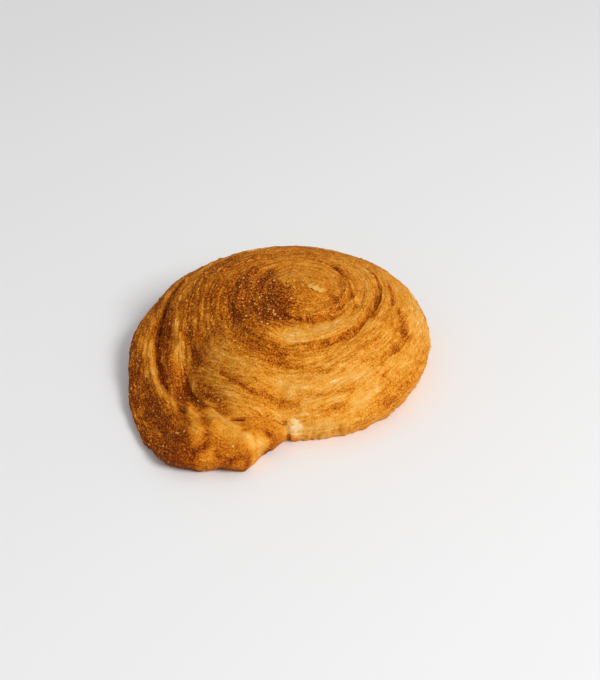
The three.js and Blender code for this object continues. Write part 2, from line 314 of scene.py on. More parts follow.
# Length along the strip, for streaks that follow the winding
PITCH = math.log(GROWTH_PER_TURN) / (2.0 * math.pi)
along = (WINDING_RADIUS + CENTRE_SLACK) * GROWTH_PER_TURN ** ((angle - 360.0 * turn) / 360.0) / PITCH

# Baked unevenness is drawn from one seeded square of random heights
HEIGHT_SEED = 11
HEIGHT_STEPS = 256
RANDOM_HEIGHTS = np.random.default_rng(HEIGHT_SEED).random((HEIGHT_STEPS, HEIGHT_STEPS))


def unevenness(across, lengthwise):
    """Smooth random heights from -0.5 to 0.5, one to each whole step of the two values."""
    column, row = np.floor(across).astype(int), np.floor(lengthwise).astype(int)
    a, b = ease(across - column, 0.0, 1.0), ease(lengthwise - row, 0.0, 1.0)
    left, right = column % HEIGHT_STEPS, (column + 1) % HEIGHT_STEPS
    low, high = row % HEIGHT_STEPS, (row + 1) % HEIGHT_STEPS
    near = RANDOM_HEIGHTS[left, low] * (1.0 - a) + RANDOM_HEIGHTS[right, low] * a
    far = RANDOM_HEIGHTS[left, high] * (1.0 - a) + RANDOM_HEIGHTS[right, high] * a
    return near * (1.0 - b) + far * b - 0.5


# The layers' edges are ragged, so they are found at a share that wanders a little: by how much, over what
# length, and its own place in the square
RAGGED = ((0.13, 6.5, 20.0, 70.0), (0.07, 2.3, 50.0, 90.0))
ragged = np.zeros_like(x)
for amount, size, from_x, from_y in RAGGED:
    ragged += amount * unevenness(x / size + from_x, y / size + from_y)
layer_share = (share + ragged * (turn + share < TURNS)) % 1.0


def crease(at, width):
    """A valley with its deepest line at a share of the strip's width."""
    return np.exp(-np.abs((layer_share - at + 0.5) % 1.0 - 0.5) / width)


# Layers: a step where a turn lies over the next, with a seam at its foot, both faint where the tail leaves
# the body, and a fold along the strip. On the tail the fold opens into a deep round groove that runs inwards.
STEP_HEIGHT = 1.3
STEP_EDGE = 0.92
STEP_GROWS = (2.0, 13.0)
KNOB_STEP_HEIGHT = 1.3
KNOB_STEP_RISES = (9.0, 17.0)
KNOB_STEP_FALLS = (26.0, 34.0)
STEP_LEAST = 0.3
STEP_FACING = -40.0
SEAM_DEPTH = 0.25
SEAM_MORE_DEPTH = 0.85
SEAM_FACING = -5.0
SEAM_WIDTH = 0.09
SEAM_LEAST = 0.5
SEAM_DEEPENS = (20.0, 28.0)
FOLD_DEPTH = 0.2
FOLD_WIDTH = 0.06
FOLD_AT = 0.47
GROOVE_DEPTH = 3.8
GROOVE_WIDTH = 0.07
GROOVE_OPENS = (138.0, 166.0)
GROOVE_CLOSES = (204.0, 224.0)
GROOVE_OUTWARDS = 0.03
GROOVE_GOES_OUT = (125.0, 160.0)
GROOVE_INWARDS = 0.08
GROOVE_GOES_IN = (188.0, 220.0)
BEFORE_JOIN = (0.7, 0.9)
AFTER_JOIN = (0.1, 0.3)
LAYERS_FADE = (135.0, 170.0)
LAYERS_RETURN = (262.0, 269.0)
SMOOTH_RIM = (0.86, 1.0)
SMOOTH_CENTRE = (4.0, 12.0)
groove_at = FOLD_AT + GROOVE_OUTWARDS * ease(angle, *GROOVE_GOES_OUT)
groove_at -= GROOVE_INWARDS * ease(angle, *GROOVE_GOES_IN)
on_tail = between(angle, GROOVE_OPENS, GROOVE_CLOSES) * last_turn
groove = on_tail * np.exp(-((share - groove_at) / GROOVE_WIDTH) ** 2)
beside_join = last_turn * (1.0 - ease(share, *AFTER_JOIN)) + turn_before * ease(share, *BEFORE_JOIN)
shown_layers = 1.0 - beside_join * between(angle, LAYERS_FADE, LAYERS_RETURN)
step_height = STEP_HEIGHT * ease(radius, *STEP_GROWS)
step_height += KNOB_STEP_HEIGHT * between(radius, KNOB_STEP_RISES, KNOB_STEP_FALLS)
step_height *= STEP_LEAST + (1.0 - STEP_LEAST) * facing(angle, STEP_FACING)
ramp = np.where(layer_share < STEP_EDGE, layer_share / STEP_EDGE, 1.0 - ease(layer_share, STEP_EDGE, 1.0))
seam_depth = (SEAM_DEPTH + SEAM_MORE_DEPTH * facing(angle, SEAM_FACING)) * shown_layers
seam_depth *= SEAM_LEAST + (1.0 - SEAM_LEAST) * ease(radius, *SEAM_DEEPENS)
seam = seam_depth * crease(0.0, SEAM_WIDTH)
fold = FOLD_DEPTH * crease(FOLD_AT, FOLD_WIDTH) * (1.0 - on_tail)
inside_rim = (1.0 - ease(radius / rim_radius[:, None], *SMOOTH_RIM)) * ease(radius, *SMOOTH_CENTRE)
layers = (step_height * (ramp - 0.5) * shown_layers - seam - fold) * inside_rim - GROOVE_DEPTH * groove

# Creases and ridges along the strip: the angle and share where each starts and where it ends, its half width
# and depth in millimetres, less than nothing for a ridge, and how much darker it is painted, mostly painted
# shade in a crease and a painted highlight, less than nothing, on a ridge. The angle goes on from turn to
# turn, from -91 to 269 on the last turn and 360 less on the turn before.
CREASES = (
    # Hollows across the front of the body, darkened with painted shade
    (-139.0, 0.11, -101.0, 0.05, 2.6, 0.4, 0.20),
    (-129.0, 0.58, -113.0, 0.63, 1.1, 0.5, 0.24),
    (-109.0, 0.66, -88.0, 0.84, 1.2, 0.5, 0.20),
    (-82.0, 0.87, -66.0, 0.90, 1.0, 0.3, 0.16),
    (-88.0, 0.68, -56.0, 0.75, 1.0, 0.35, 0.17),
    (-104.0, 0.23, -70.0, 0.42, 1.6, 0.2, 0.12),
    # Ridges between those hollows, paler with painted highlights
    (-153.0, 0.59, -120.0, 0.36, 1.7, -0.5, -0.10),
    (-118.0, 0.36, -86.0, 0.62, 1.7, -0.4, -0.10),
    (-120.0, 0.78, -93.0, 0.95, 1.3, -0.35, -0.08),
    # The strip of the body just inside its edge, beside the tail's end, mostly darkened with painted shade
    (-131.0, 0.86, -130.0, 0.86, 1.6, 0.3, 0.12),
    (-121.0, 0.94, -116.0, 1.02, 1.4, 0.4, 0.08),
    (-139.0, 0.86, -126.0, 0.84, 1.8, 0.2, 0.10),
    (-126.0, 0.84, -118.0, 0.93, 1.5, 0.2, 0.09),
    (-121.0, 0.79, -112.0, 0.86, 1.4, -0.2, -0.08),
    # Strokes on the right side
    (1.0, 0.02, 40.0, 0.11, 0.8, 0.5, 0.16),
    (1.0, 0.33, 18.0, 0.25, 1.3, 0.5, 0.26),
    # The foot of the last turn but one, from the right round to the front
    (-346.0, 0.90, -366.0, 0.96, 2.0, 0.2, 0.18),
    (-366.0, 0.96, -408.0, 0.98, 1.2, 0.2, 0.12),
    (-408.0, 0.97, -427.0, 0.92, 0.8, 0.4, 0.22),
    (-427.0, 0.92, -455.0, 0.88, 0.8, 0.3, 0.20),
    # The long dark stroke at the front right, and nicks beside the rim there
    (-15.0, 0.66, -4.0, 0.50, 1.8, 0.4, 0.22),
    (-28.0, 0.65, -15.0, 0.67, 2.5, 0.6, 0.27),
    (-46.0, 0.62, -28.0, 0.65, 1.6, 0.3, 0.16),
    (-52.0, 0.99, -44.0, 0.97, 2.0, 0.2, 0.06),
    (-46.0, 0.74, -43.0, 0.83, 0.8, 0.3, 0.15),
    # Arcs on and round the knob
    (-503.0, 0.39, -473.0, 0.02, 0.8, 0.3, 0.14),
    (-822.0, 0.97, -800.0, 0.99, 0.8, 0.35, 0.13),
    (-800.0, 0.99, -733.0, 1.28, 0.8, 0.35, 0.13),
    (-299.0, 0.05, -322.0, -0.02, 0.9, 0.3, 0.16),
    (-322.0, -0.02, -344.0, -0.34, 0.9, 0.3, 0.14),
    (-324.0, 0.02, -353.0, 0.12, 0.7, -0.3, -0.12),
    (-353.0, 0.12, -377.0, 0.39, 0.7, -0.3, -0.10),
    (-583.0, 0.73, -543.0, 0.54, 0.8, -0.3, -0.14),
    (-591.0, 0.56, -540.0, 0.27, 0.9, 0.3, 0.12),
    (-579.0, 0.92, -544.0, 0.74, 0.9, 0.3, 0.12),
    (-243.0, 0.27, -293.0, 0.58, 1.2, 0.3, 0.10),
    (-765.0, 0.62, -701.0, 0.75, 0.8, 0.3, 0.10),
    (-701.0, 0.51, -666.0, 1.06, 1.2, 0.3, 0.14),
    (-585.0, 0.54, -565.0, 0.35, 2.0, 0.3, 0.16),
    # Painted highlights on raised bands in front of the knob and right of it
    (-466.0, 0.50, -408.0, 0.47, 2.2, -0.3, -0.12),
    (-382.0, 0.20, -364.0, 0.42, 2.6, -0.2, -0.10),
    # On the tail: painted shade on the dark side of its groove, and painted highlights on the ridge beside
    # the body and on the crest
    (177.0, 0.35, 207.0, 0.28, 2.2, 0.0, 0.30),
    (180.0, 0.21, 192.0, 0.125, 1.7, -0.9, -0.19),
    (192.0, 0.125, 206.0, 0.04, 1.5, -0.7, -0.16),
    (185.0, 0.56, 201.0, 0.58, 2.4, 0.0, -0.10),
    (201.0, 0.58, 223.0, 0.47, 2.7, -0.3, -0.24),
    # The body's edge over the tail: a thin painted highlight along it, painted shade on the body beside it
    # and a painted shadow on the tail under it
    (-150.0, 0.94, -139.0, 0.96, 1.6, 0.0, -0.12),
    (187.0, 0.09, 202.0, -0.05, 0.5, -0.3, -0.12),
    (202.0, -0.05, 217.0, -0.04, 0.6, -0.2, -0.08),
    (217.0, -0.03, 236.0, -0.02, 0.6, -0.2, -0.10),
    (188.0, -0.03, 205.0, -0.16, 1.6, 0.0, 0.08),
    (193.0, -0.19, 212.0, -0.28, 2.2, 0.2, 0.14),
    (216.0, -0.13, 240.0, -0.08, 2.2, 0.0, 0.09),
    (212.0, 0.27, 226.0, 0.10, 2.4, 0.3, 0.24),
    (213.0, 0.08, 225.0, 0.05, 1.1, 0.5, 0.22),
)
CREASE_WAVINESS = 0.3

# Marks on the tail and the knob that don't follow the strip: their two ends seen from above, and then the
# half width, depth and darkening as for a crease, painted shade in hollows and painted highlights on ridges
MARKS = (
    # Hollows round and between the tail's lumps, mostly darkened with painted shade
    (-41.6, -34.5, -39.8, -45.5, 1.8, 0.3, 0.24),
    (-39.6, -45.5, -36.8, -54.5, 1.6, 0.0, 0.16),
    (-33.8, -38.5, -32.4, -43.5, 1.3, 0.2, 0.06),
    (-40.5, -37.0, -33.5, -43.5, 2.2, 0.0, 0.14),
    (-32.4, -43.5, -31.0, -52.3, 1.3, -0.3, 0.08),
    (-31.0, -52.3, -29.6, -58.5, 1.3, 0.1, 0.16),
    # Painted highlight on the body's edge beside the lumps
    (-31.8, -41.5, -24.5, -52.8, 0.8, -0.4, -0.12),
    # Painted shade in crevices low on the tail's end
    (-29.4, -58.5, -30.2, -61.5, 1.2, 0.3, 0.18),
    (-36.5, -64.4, -30.5, -61.7, 1.1, 0.5, 0.24),
    (-26.4, -64.2, -21.6, -65.2, 1.1, 0.3, 0.20),
    (-21.6, -65.2, -15.5, -63.5, 1.1, 0.3, 0.20),
    (-27.0, -60.6, -16.0, -62.8, 2.0, 0.2, 0.13),
    # Painted shade in the slit and the nicks between the tail's end and the notch
    (-21.1, -52.3, -17.5, -52.1, 0.6, 0.8, 0.42),
    (-17.0, -54.0, -10.0, -54.5, 2.8, 0.0, 0.13),
    (-8.9, -54.2, -8.2, -54.2, 1.2, 0.4, 0.28),
    (-17.4, -57.2, -16.9, -57.2, 0.9, 0.4, 0.22),
    # Painted highlights on the lumps' edge and backs, and painted shade in one crease between the last two
    (-23.3, -53.4, -15.4, -59.2, 1.1, -0.3, -0.16),
    (-25.0, -57.2, -17.5, -60.0, 2.8, 0.0, -0.13),
    (-13.5, -59.5, -9.0, -57.0, 2.2, 0.0, -0.23),
    (-13.2, -57.5, -12.2, -61.0, 0.5, 0.3, 0.15),
    (-32.0, -65.4, -28.0, -65.2, 1.8, 0.0, -0.14),
    (-29.4, -47.5, -27.6, -53.5, 1.6, 0.0, -0.10),
    (-35.2, -55.2, -32.6, -58.0, 2.4, 0.0, -0.07),
    (-37.2, -42.0, -36.0, -48.5, 1.6, 0.0, -0.12),
    # Nicks on the knob and a slit right of it, darkened with painted shade
    (5.5, 3.7, 8.5, 3.5, 1.2, 0.2, 0.12),
    (3.0, -4.0, 6.0, -7.5, 1.6, 0.2, 0.10),
    (13.5, -3.5, 15.5, -7.5, 1.6, 0.2, 0.10),
    (12.6, 6.0, 12.8, 6.8, 0.9, 0.4, 0.22),
    (15.6, -9.8, 17.2, -9.0, 1.0, 0.4, 0.20),
    (23.6, -6.8, 22.6, -9.8, 0.6, 0.5, 0.34),
)
MARK_WAVINESS = 4.0
unwound = angle - 360.0 * turn
wavy_share = share + CREASE_WAVINESS * ragged
wavy_x, wavy_y = x + MARK_WAVINESS * ragged, y - MARK_WAVINESS * ragged


def near_line(start, start_share, end, end_share, half_width):
    """1 on a line along the strip, falling to 0 away from it."""
    nearness = np.zeros_like(x)
    for turns_on in (-1, 0, 1):
        at = unwound + 360.0 * turns_on
        part = np.clip((at - start) / (end - start), 0.0, 1.0)
        off_line = (wavy_share - turns_on - start_share - (end_share - start_share) * part) * strip_width
        past_end = np.radians(at - start - (end - start) * part) * radius
        nearness = np.maximum(nearness, np.exp(-(off_line ** 2 + past_end ** 2) / half_width ** 2))
    return nearness


pressed = np.zeros_like(x)
crease_shade_and_light = np.zeros_like(x)
for *line, depth, darkening in CREASES:
    nearness = near_line(*line)
    pressed += depth * nearness
    crease_shade_and_light += darkening * nearness
for *path, depth, darkening in MARKS:
    nearness = near_path(wavy_x, wavy_y, *path)
    pressed += depth * nearness
    crease_shade_and_light += darkening * nearness
height = height + layers - pressed * (1.0 - on_flank)
points = np.stack([x, y, height], axis=-1)

# Unevenness drawn out along the strip: its length, its width across and its own place in the square
WANDER = (26.0, 5.6, 40.0)
STRANDS = (60.0, 2.5, 7.0)
STREAKS = (26.0, 1.2, 90.0)
THREADS = (12.0, 0.5, 150.0)
HAIRS = (20.0, 0.65, 210.0)
LEAVES = (19.0, 2.8, 60.0)
BELTS = (48.0, 4.3, 120.0)
WANDER_REACH = 1.8
HAIR_LEVELS = (0.14, 0.40)
LEAF_LEVELS = 3.0
LEAF_EDGE = (0.75, 1.0)


def drawn_out(kind, crosswise):
    length, width, place = kind
    return unevenness(along / length, crosswise / width + place)


across = share * strip_width
wander = across + WANDER_REACH * drawn_out(WANDER, across)
strands = drawn_out(STRANDS, wander)
streaks = drawn_out(STREAKS, wander)
threads = drawn_out(THREADS, wander)
belts = drawn_out(BELTS, wander)
hairs = ease(drawn_out(HAIRS, wander), *HAIR_LEVELS)
leaves = (drawn_out(LEAVES, wander) + 0.5) * LEAF_LEVELS
leaf_steps = np.floor(leaves) + ease(leaves % 1.0, *LEAF_EDGE) - LEAF_LEVELS / 2.0

# Unevenness that is the same all ways: its size and its own place in the square. Part of the height is
# added to y, so that it does not stretch down the flank.
BUMPS = (3.1, 0.0, 0.0)
GRAIN = (0.9, 0.0, 31.0)
BLOTCHES = (9.0, 11.0, 0.0)
SPREAD_FROM = 200.0
SPREAD_HEIGHT = 0.8
flat_x, flat_y = x + SPREAD_FROM, y + SPREAD_HEIGHT * height + SPREAD_FROM


def all_ways(kind):
    size, place_x, place_y = kind
    return unevenness(flat_x / size + place_x, flat_y / size + place_y)


bumps = all_ways(BUMPS)
grain = all_ways(GRAIN)
blotches = all_ways(BLOTCHES)

# Sides of the bun away from its middle: the direction, and the radii over which each begins
LEFT_SIDE = (200.0, 18.0, 34.0)
BACK_SIDE = (90.0, 14.0, 30.0)
RIGHT_SIDE = (10.0, 28.0, 42.0)
SMOOTH_END = ((226.0, 240.0), (268.0, 269.0))


def on_side(towards, starts, full):
    """1 on one side of the bun, falling to 0 towards its middle and the other sides."""
    return facing(angle, towards) * ease(radius, starts, full)


def near_spot(spot_x, spot_y, width):
    """1 at a spot seen from above, falling to 0 away from it."""
    return np.exp(-((x - spot_x) ** 2 + (y - spot_y) ** 2) / width ** 2)


at_left = on_side(*LEFT_SIDE)
at_back = on_side(*BACK_SIDE)
at_right = on_side(*RIGHT_SIDE)
smooth_end = between(angle, *SMOOTH_END) * last_turn

# How far the unevenness stands out of the crust, in millimetres along its normal. The crust is rough left of
# the knob, on its top, on the left side and down the flank, and smooth elsewhere and at the tail's end.
ROUGH_SPOT = (-9.0, -7.0, 13.0)
ROUGH_TOP = 0.4
ROUGH_TOP_WIDTH = 12.0
ROUGH_LEFT = 0.4
ROUGH_FLANK = 0.3
STRAND_RISE = 0.5
STRANDS_LOWER_LEFT = 0.25
STRANDS_LOWER_BACK = 0.2
STREAK_RISE = 0.3
THREAD_RISE = 0.24
HAIR_RISE_LEFT = 0.10
HAIR_RISE_RIGHT = 0.25
LEAF_RISE = 0.22
SMOOTH_END_LOWERS = 0.75
STRANDS_START = (3.0, 16.0)
BUMP_RISE = 0.25
GRAIN_RISE = 0.10
ROUGH_RISE = 0.4
SCALLOP_RISE = 0.9
SCALLOP_LENGTH = 4.0
SCALLOP_PLACE = 30.5
CRIMP_RISE = 0.5
CRIMP_LENGTH = 1.5
CRIMP_HEIGHT = 3.0
FOOT_ROUGHER = 0.8
FOOT_STARTS = (1.05, 1.35)
FLANK_LOWERS = 0.3
RELIEF_STARTS = (0.5, 4.0)
NO_LENGTH = 1e-9
roughness = near_spot(*ROUGH_SPOT) + ROUGH_LEFT * at_left + ROUGH_FLANK * on_flank
roughness += ROUGH_TOP * np.exp(-(radius / ROUGH_TOP_WIDTH) ** 2)
strand_rise = STRAND_RISE - STRANDS_LOWER_LEFT * at_left - STRANDS_LOWER_BACK * at_back
hair_rise = HAIR_RISE_LEFT * at_left + HAIR_RISE_RIGHT * at_right
relief = strand_rise * strands + STREAK_RISE * streaks
relief = relief + THREAD_RISE * threads + hair_rise * hairs + LEAF_RISE * leaf_steps
relief = relief * (1.0 - SMOOTH_END_LOWERS * smooth_end) * ease(radius, *STRANDS_START)
relief = relief + (BUMP_RISE + ROUGH_RISE * roughness) * bumps + (GRAIN_RISE + ROUGH_RISE * roughness) * grain
rough_rim = SCALLOP_RISE * unevenness(along / SCALLOP_LENGTH, np.full_like(along, SCALLOP_PLACE))
rough_rim += CRIMP_RISE * unevenness(along / CRIMP_LENGTH, height / CRIMP_HEIGHT)
rough_rim *= 1.0 + FOOT_ROUGHER * ease(share, *FOOT_STARTS)
relief = relief * (1.0 - FLANK_LOWERS * on_flank) + rough_rim * on_flank
relief *= ease(radius, *RELIEF_STARTS)


def normals_of(net):
    """The way out of the crust at each point of the net."""
    ahead, behind = np.roll(net, -1, axis=0), np.roll(net, 1, axis=0)
    normal = np.cross(np.gradient(net, axis=1), ahead - behind)
    return normal / np.maximum(np.linalg.norm(normal, axis=-1, keepdims=True), NO_LENGTH)


points += normals_of(points) * relief[..., None]
points[:, -1, 2] = 0.0
points[..., 2] = np.maximum(points[..., 2], 0.0)
normal = normals_of(points)
above_table = points[..., 2]

# Browning from pale dough, 0, to dark crust, 1, which also carries the painted shade and painted highlights
# added below: first of the whole crust, and how much its unevenness shows, which is calmed on the sides, on
# the knob's top and at the tail's smooth end
EVEN_BROWN = 0.34
STREAK_BROWN = 0.16
BLOTCH_BROWN = 0.12
BLOTCHES_CALM_RIGHT = 0.5
STREAKS_CALM_SIDES = 0.3
CALM_END = 0.6
CALM_TOP = 0.5
CALM_TOP_RADII = (16.0, 6.0)
STRAND_PALE_LEFT = 0.06
HAIR_PALE_LEFT = 0.08
HAIR_PALE_RIGHT = 0.10
streaky = 1.0 - CALM_END * smooth_end - CALM_TOP * ease(radius, *CALM_TOP_RADII)
streaked = STREAK_BROWN * (streaks + threads + belts) * streaky
brown_and_shade = EVEN_BROWN + BLOTCH_BROWN * blotches * (1.0 - BLOTCHES_CALM_RIGHT * at_right)
brown_and_shade += streaked * (1.0 - STREAKS_CALM_SIDES * (at_left + at_right))
brown_and_shade -= (STRAND_PALE_LEFT * strands + HAIR_PALE_LEFT * hairs) * at_left
brown_and_shade -= HAIR_PALE_RIGHT * hairs * at_right

# The top is browner. The left and the back are darker, partly browner crust and partly painted shade, and all
# that is turned away from the lamp gets painted shade, most of it spared on the part of the body beside the
# tail. The right, facing the lamp, is paler, partly a painted highlight.
TOP_BROWN = 0.1
TOP_RADII = (27.0, 17.0)
LEFT_BROWN_AND_SHADE = 0.14
BACK_BROWN_AND_SHADE = 0.14
FRONT_FLANK_BROWN = 0.10
FRONT_FLANK_FACING = -70.0
RIGHT_PALE_AND_LIT = 0.10
PALE_LIT_SIDE = (-10.0, 34.0, 50.0)
TURNED_AWAY_SHADE = 0.32
AWAY_FROM_LAMP = np.array([-0.97, 0.05, -0.20])
SHADE_SPARED = 0.8
SHADE_SPARED_ANGLES = ((205.0, 225.0), (262.0, 269.0))
SHADE_SPARED_ENDS = (0.97, 1.1)
shade_spared = between(angle, *SHADE_SPARED_ANGLES) * (1.0 - ease(share, *SHADE_SPARED_ENDS)) * (turn > 0)
turned_from_lamp = np.clip(normal @ AWAY_FROM_LAMP, 0.0, 1.0) * (1.0 - SHADE_SPARED * shade_spared)
brown_and_shade += TOP_BROWN * ease(radius, *TOP_RADII) + LEFT_BROWN_AND_SHADE * at_left + BACK_BROWN_AND_SHADE * at_back
brown_and_shade += FRONT_FLANK_BROWN * on_flank * facing(angle, FRONT_FLANK_FACING)
brown_and_shade += TURNED_AWAY_SHADE * turned_from_lamp - RIGHT_PALE_AND_LIT * on_side(*PALE_LIT_SIDE)

# The tail's outer flank, turned away from the lamp, is darker below its crest, along a ragged line: partly
# browner crust and partly painted shade
TAIL_FLANK_BROWN_AND_SHADE = 0.22
TAIL_FLANK_EDGE = (-0.8, 1.6)
TAIL_FLANK_RAGGED = 2.0
TAIL_FLANK_SPOTTED = 1.2
flank_out = past_line(x, y, FLANK_PLACE, FLANK_FACING) + TAIL_FLANK_RAGGED * streaks
brown_and_shade += TAIL_FLANK_BROWN_AND_SHADE * ease(flank_out, *TAIL_FLANK_EDGE) * (1.0 + TAIL_FLANK_SPOTTED * bumps)

# The knob's left side, turned away from the lamp, gets painted shade behind a sharp edge: a point of the edge
# and the way across it, then the middle and half sizes of the shaded place
KNOB_SIDE_SHADE = 0.30
KNOB_EDGE = (-7.0, 10.0)
KNOB_EDGE_FACING = (0.924, 0.382)
KNOB_EDGE_RAGGED = 4.0
KNOB_EDGE_FADES = (2.0, -2.5)
KNOB_SIDE_MIDDLE = (-8.0, -1.0)
KNOB_SIDE_HALF = (12.0, 16.0)
past_edge = past_line(x, y, KNOB_EDGE, KNOB_EDGE_FACING) + KNOB_EDGE_RAGGED * bumps
off_x = (x - KNOB_SIDE_MIDDLE[0]) / KNOB_SIDE_HALF[0]
off_y = (y - KNOB_SIDE_MIDDLE[1]) / KNOB_SIDE_HALF[1]
brown_and_shade += KNOB_SIDE_SHADE * ease(past_edge, *KNOB_EDGE_FADES) * np.exp(-off_x ** 4 - off_y ** 4)

# The gap beside the body gets a painted shadow, and the seams and the groove get painted shade; the creases
# and the marks add their painted shade and painted highlights
GAP_SHADOW = 0.26
GAP_SHADOW_ANGLES = ((198.0, 212.0), (230.0, 244.0))
GAP_SHADOW_WIDTH = 0.17
SEAM_SHADE = 0.16
SEAM_SHADE_WIDTH = 0.06
SEAM_SHADE_STARTS = (12.0, 18.0)
SEAM_SHADE_LEAST = 0.4
GROOVE_SHADE = 0.36
in_gap = between(angle, *GAP_SHADOW_ANGLES) * last_turn * np.exp(-(share / GAP_SHADOW_WIDTH) ** 2)
in_seam = crease(0.0, SEAM_SHADE_WIDTH) * ease(radius, *SEAM_SHADE_STARTS) * (1.0 - on_flank)
brown_and_shade += GAP_SHADOW * in_gap + SEAM_SHADE * in_seam * (SEAM_SHADE_LEAST + seam_depth)
brown_and_shade += GROOVE_SHADE * groove + crease_shade_and_light

# Patches painted darker, or paler where less than nothing, with painted shade low on the tail's end among
# them: the middle, the width and how much darker
DARKENED_PATCHES = (
    (-7.0, -15.0, 8.0, 0.24),
    (-23.0, -7.0, 9.0, 0.12),
    (12.0, -46.0, 11.0, -0.08),
    (-7.5, -52.5, 3.0, 0.14),
    (-27.0, -63.0, 7.0, 0.08),
    (27.0, -45.0, 4.0, 0.06),
    (36.0, -30.0, 7.0, 0.13),
    (-24.0, 19.0, 9.0, 0.17),
    (-17.0, 22.0, 9.0, 0.09),
    (-25.5, 3.0, 8.0, 0.16),
    (-25.5, -9.0, 6.0, 0.09),
    (-19.5, 7.0, 5.0, 0.10),
    (28.0, 14.0, 6.0, 0.06),
    (-9.0, -37.0, 6.0, 0.07),
    (6.0, 1.0, 11.0, 0.05),
    (24.0, 3.0, 5.0, -0.07),
    (40.0, -8.0, 10.0, 0.08),
    (-2.0, -26.0, 6.0, -0.05),
    (-14.0, -25.0, 6.0, 0.05),
    (3.0, -51.0, 6.0, -0.10),
    (-54.0, 3.0, 5.0, 0.18),
    (-33.5, -9.0, 6.0, -0.08),
    # Painted shade low on the tail's end, beside its flank
    (-38.5, -63.5, 5.0, 0.24),
    (-31.0, -65.0, 4.0, 0.08),
    (-12.0, -41.0, 6.0, 0.05),
    (-15.0, -58.0, 2.5, 0.10),
    (11.5, -19.2, 4.0, -0.08),
    (5.0, -13.6, 4.0, 0.08),
)
BROWN_LIMITS = (0.10, 0.86)
for *patch, darkening in DARKENED_PATCHES:
    brown_and_shade += darkening * near_spot(*patch)
brown_and_shade = np.clip(brown_and_shade, *BROWN_LIMITS)

# A wedge beside the notch where a layer has split and shows pale dough: its middle, top, bottom, half width
# at the top, how much it widens downwards, how it ends and how ragged its edge is
SPLIT_X = 0.7
SPLIT_TOP = 11.4
SPLIT_BOTTOM = 5.0
SPLIT_HALF = 1.7
SPLIT_WIDENS = 0.44
SPLIT_ENDS_ABOVE = 1.5
SPLIT_ENDS_BELOW = 1.0
SPLIT_IN_FRONT_OF = -40.0
SPLIT_NOT_BEHIND = 9.0
SPLIT_THREADS = 0.3
SPLIT_BUMPS = 0.6
SPLIT_GRAIN = 0.5
SPLIT_FADES = (1.5, 0.2)
SPLIT_BROWN = 0.01
split_half = SPLIT_HALF + SPLIT_WIDENS * np.maximum(SPLIT_TOP - above_table, 0.0)
split_away = np.abs(x - SPLIT_X) / split_half + SPLIT_NOT_BEHIND * (y > SPLIT_IN_FRONT_OF)
split_away += SPLIT_ENDS_ABOVE * np.maximum(above_table - SPLIT_TOP, 0.0)
split_away += SPLIT_ENDS_BELOW * np.maximum(SPLIT_BOTTOM - above_table, 0.0)
split_away += SPLIT_THREADS * threads + SPLIT_BUMPS * bumps + SPLIT_GRAIN * grain
brown_and_shade -= (brown_and_shade - SPLIT_BROWN) * ease(split_away, *SPLIT_FADES)

# How much threads and speckles show in the crust's colour
THREADS_SHOW = (-0.05, 0.30)
SPECKLES = 2.1
SPECKLES_CALM_END = 0.3
thready = streaky * ease(brown_and_shade, *THREADS_SHOW)
speckly = SPECKLES * (1.0 - SPECKLES_CALM_END * smooth_end)

# The mesh: the net of the crust, a top point and the middle of the underside
rows = RINGS + FLANK_ROWS
top_point = np.array([[*CENTRE_SHIFT, points[:, 0, 2].mean()]])
middle_point = np.array([[0.0, 0.0, 0.0]])
vertices = np.concatenate([points.reshape(-1, 3), top_point, middle_point]) * MM
first, following = np.arange(COLUMNS) * rows, (np.arange(COLUMNS) + 1) % COLUMNS * rows
here = first[:, None] + np.arange(rows - 1)[None, :]
beside = following[:, None] + np.arange(rows - 1)[None, :]
quads = np.stack([here, here + 1, beside + 1, beside], axis=-1).reshape(-1, 4)
caps = [[COLUMNS * rows, a, b] for a, b in zip(first.tolist(), following.tolist())]
soles = [[COLUMNS * rows + 1, b + rows - 1, a + rows - 1] for a, b in zip(first.tolist(), following.tolist())]
bun_mesh = bpy.data.meshes.new("bun_crust")
bun_mesh.from_pydata(vertices.tolist(), [], quads.tolist() + caps + soles)
bun_mesh.shade_smooth()


def put(name, data):
    """Puts a mesh, a lamp or a camera into the scene."""
    thing = bpy.data.objects.new(name, data)
    bpy.context.collection.objects.link(thing)
    return thing


def paint(mesh, name, values):
    """Keeps one number for each vertex, for the crust's colour to read."""
    layer = mesh.attributes.new(name, "FLOAT", "POINT")
    layer.data.foreach_set("value", np.asarray(values, dtype=np.float32))


# What the crust's colour reads, each with its value at the top point and at the middle of the underside
colour_numbers = {
    "brown_and_shade": (brown_and_shade, 0.5, 0.7),
    "along": (along, 0.0, 0.0),
    "across": (across, 0.0, 20.0),
    "thready": (thready, 1.0, 1.0),
    "speckly": (speckly, 1.0, 1.0),
}
for name, (values, at_top, at_middle) in colour_numbers.items():
    paint(bun_mesh, name, np.concatenate([values.ravel(), [at_top, at_middle]]))
bun = put("bun_crust", bun_mesh)

